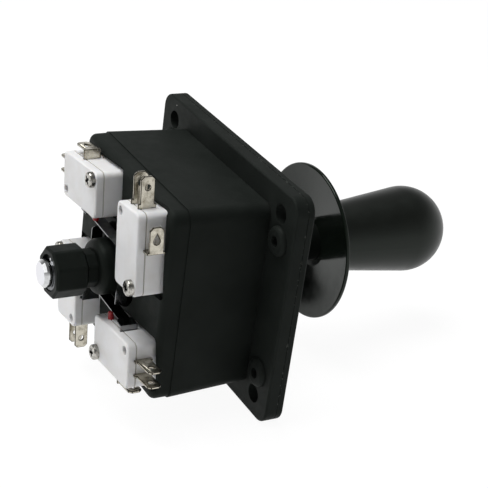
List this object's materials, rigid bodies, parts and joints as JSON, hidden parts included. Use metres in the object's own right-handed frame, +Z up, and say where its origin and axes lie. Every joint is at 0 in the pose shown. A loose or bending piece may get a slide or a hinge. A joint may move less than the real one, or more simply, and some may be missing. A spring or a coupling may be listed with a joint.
{
  "type": "arcade joystick lever",
  "caption": "Flanged box joystick with a bat-shaped handle on a sprung tilting shaft, a dust washer, and lever switches around its actuator underneath.",
  "frame": {"origin": "centre of the flange's panel-side face, on the stick's axis", "axes": "+Z up the stick to the handle, X along the flange's long side, Y along its short side"},
  "size_m": [0.0968, 0.0852, 0.1583],
  "materials": {
    "housing_plastic": "black moulded nylon, fine matt grain",
    "actuator_plastic": "black moulded plastic, satin",
    "pivot_plastic": "natural acetal, smooth",
    "handle_plastic": "black, satin gloss",
    "washer_plastic": "black, polished",
    "plated_steel": "bright zinc or nickel plate",
    "spring_steel": "oiled spring steel",
    "switch_white": "white moulded plastic, satin",
    "tab_metal": "tinned brass, pale",
    "contact_metal": "beryllium copper strip",
    "plunger_red": "red moulded plastic",
    "lever_steel": "stainless strip"
  },
  "bodies": {
    "housing": {"mounting_flange": "housing_plastic", "housing_box": "housing_plastic", "rear_cover": "housing_plastic", "switch_screws": "plated_steel", "switch_case_right": "switch_white", "switch_cover_right": "switch_white", "terminal_nc_right": "tab_metal", "terminal_no_right": "tab_metal", "terminal_com_right": "tab_metal", "contact_blade_right": "contact_metal", "switch_case_front": "switch_white", "switch_cover_front": "switch_white", "terminal_nc_front": "tab_metal", "terminal_no_front": "tab_metal", "terminal_com_front": "tab_metal", "contact_blade_front": "contact_metal", "switch_case_left": "switch_white", "switch_cover_left": "switch_white", "terminal_nc_left": "tab_metal", "terminal_no_left": "tab_metal", "terminal_com_left": "tab_metal", "contact_blade_left": "contact_metal", "switch_case_back": "switch_white", "switch_cover_back": "switch_white", "terminal_nc_back": "tab_metal", "terminal_no_back": "tab_metal", "terminal_com_back": "tab_metal", "contact_blade_back": "contact_metal"},
    "tilt_link": {"centring_spring": "spring_steel"},
    "stick": {"pivot_ball": "pivot_plastic", "actuator": "actuator_plastic", "spring_washer": "plated_steel"},
    "spindle": {"shaft": "plated_steel", "bat_handle": "handle_plastic", "shaft_sleeve": "actuator_plastic", "dust_washer": "washer_plastic", "e_clip": "spring_steel"},
    "plunger_right": {"plunger_right": "plunger_red"},
    "lever_right": {"switch_lever_right": "lever_steel"},
    "plunger_front": {"plunger_front": "plunger_red"},
    "lever_front": {"switch_lever_front": "lever_steel"},
    "plunger_left": {"plunger_left": "plunger_red"},
    "lever_left": {"switch_lever_left": "lever_steel"},
    "plunger_back": {"plunger_back": "plunger_red"},
    "lever_back": {"switch_lever_back": "lever_steel"}
  },
  "joints": [
    {"name": "tilt_x", "type": "hinge", "parent": "housing", "child": "tilt_link", "pos_m": [0, 0, -0.01], "axis": [1, 0, 0], "range_deg": [-6, 6], "stiffness_Nm_per_rad": 1.5, "deforming": ["centring_spring"]},
    {"name": "tilt_y", "type": "hinge", "parent": "tilt_link", "child": "stick", "pos_m": [0, 0, -0.01], "axis": [0, 1, 0], "range_deg": [-6, 6], "stiffness_Nm_per_rad": 1.5, "deforming": ["centring_spring"]},
    {"name": "spin", "type": "hinge", "parent": "stick", "child": "spindle", "pos_m": [0, 0, 0], "axis": [0, 0, 1], "continuous": true},
    {"name": "lever_swing_right", "type": "hinge", "parent": "housing", "child": "lever_right", "pos_m": [0.01427, -0.01968, -0.0458], "axis": [0, 0, 1], "range_deg": [-9, 9]},
    {"name": "plunger_press_right", "type": "slide", "parent": "housing", "child": "plunger_right", "axis": [0.993, -0.1184, 0], "range_m": [-0.0016, 0.0016]},
    {"name": "lever_swing_front", "type": "hinge", "parent": "housing", "child": "lever_front", "pos_m": [-0.01968, -0.01427, -0.0458], "axis": [0, 0, 1], "range_deg": [-9, 9]},
    {"name": "plunger_press_front", "type": "slide", "parent": "housing", "child": "plunger_front", "axis": [-0.1184, -0.993, 0], "range_m": [-0.0016, 0.0016]},
    {"name": "lever_swing_left", "type": "hinge", "parent": "housing", "child": "lever_left", "pos_m": [-0.01427, 0.01968, -0.0458], "axis": [0, 0, 1], "range_deg": [-9, 9]},
    {"name": "plunger_press_left", "type": "slide", "parent": "housing", "child": "plunger_left", "axis": [-0.993, 0.1184, 0], "range_m": [-0.0016, 0.0016]},
    {"name": "lever_swing_back", "type": "hinge", "parent": "housing", "child": "lever_back", "pos_m": [0.01968, 0.01427, -0.0458], "axis": [0, 0, 1], "range_deg": [-9, 9]},
    {"name": "plunger_press_back", "type": "slide", "parent": "housing", "child": "plunger_back", "axis": [0.1184, 0.993, 0], "range_m": [-0.0016, 0.0016]}
  ],
  "couplings": [
    {"joint": "lever_swing_right", "follows": "tilt_y", "ratio": 1.5},
    {"joint": "plunger_press_right", "follows": "tilt_y", "m_per_rad": -0.015279},
    {"joint": "lever_swing_front", "follows": "tilt_x", "ratio": 1.5},
    {"joint": "plunger_press_front", "follows": "tilt_x", "m_per_rad": -0.015279},
    {"joint": "lever_swing_left", "follows": "tilt_y", "ratio": -1.5},
    {"joint": "plunger_press_left", "follows": "tilt_y", "m_per_rad": 0.015279},
    {"joint": "lever_swing_back", "follows": "tilt_x", "ratio": -1.5},
    {"joint": "plunger_press_back", "follows": "tilt_x", "m_per_rad": 0.015279}
  ]
}
